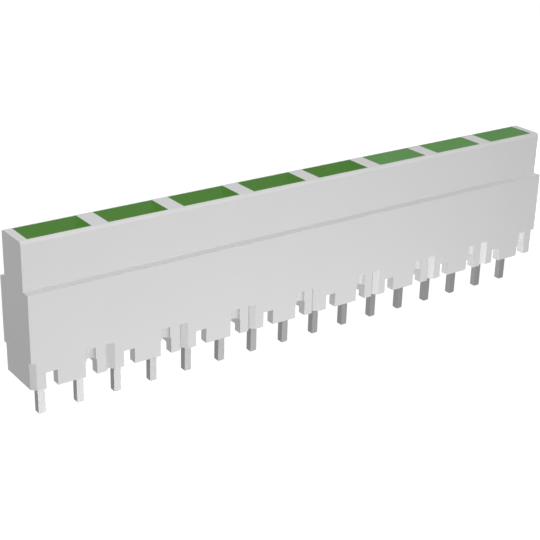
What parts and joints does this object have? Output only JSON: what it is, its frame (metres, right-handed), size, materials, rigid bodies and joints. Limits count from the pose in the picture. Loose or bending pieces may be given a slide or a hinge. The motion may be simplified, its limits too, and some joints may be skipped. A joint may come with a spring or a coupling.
{
  "type": "led bar graph",
  "caption": "Long stepped moulded housing with a row of flush rectangular light segments and one row of square through-hole leads.",
  "frame": {"origin": "middle of the housing in its seating plane, the plane of the feet that stand on the circuit board; the leads reach below it", "axes": "+X along the row of segments, +Z out of the windows, -Y to the side with the flutes, which mark the cathode of each segment"},
  "size_m": [0.0406, 0.0036, 0.0115],
  "materials": {
    "housing_plastic": "satin",
    "green_resin": "gloss",
    "tinned_lead": "satin",
    "chip_crystal": "satin",
    "gold_wire": "gloss"
  },
  "bodies": {
    "root": {"housing": "housing_plastic", "resin_segment_1": "green_resin", "cathode_lead_1": "tinned_lead", "anode_lead_1": "tinned_lead", "led_chip_1": "chip_crystal", "bond_wire_1": "gold_wire", "resin_segment_2": "green_resin", "cathode_lead_2": "tinned_lead", "anode_lead_2": "tinned_lead", "led_chip_2": "chip_crystal", "bond_wire_2": "gold_wire", "resin_segment_3": "green_resin", "cathode_lead_3": "tinned_lead", "anode_lead_3": "tinned_lead", "led_chip_3": "chip_crystal", "bond_wire_3": "gold_wire", "resin_segment_4": "green_resin", "cathode_lead_4": "tinned_lead", "anode_lead_4": "tinned_lead", "led_chip_4": "chip_crystal", "bond_wire_4": "gold_wire", "resin_segment_5": "green_resin", "cathode_lead_5": "tinned_lead", "anode_lead_5": "tinned_lead", "led_chip_5": "chip_crystal", "bond_wire_5": "gold_wire", "resin_segment_6": "green_resin", "cathode_lead_6": "tinned_lead", "anode_lead_6": "tinned_lead", "led_chip_6": "chip_crystal", "bond_wire_6": "gold_wire", "resin_segment_7": "green_resin", "cathode_lead_7": "tinned_lead", "anode_lead_7": "tinned_lead", "led_chip_7": "chip_crystal", "bond_wire_7": "gold_wire", "resin_segment_8": "green_resin", "cathode_lead_8": "tinned_lead", "anode_lead_8": "tinned_lead", "led_chip_8": "chip_crystal", "bond_wire_8": "gold_wire"}
  },
  "joints": []
}
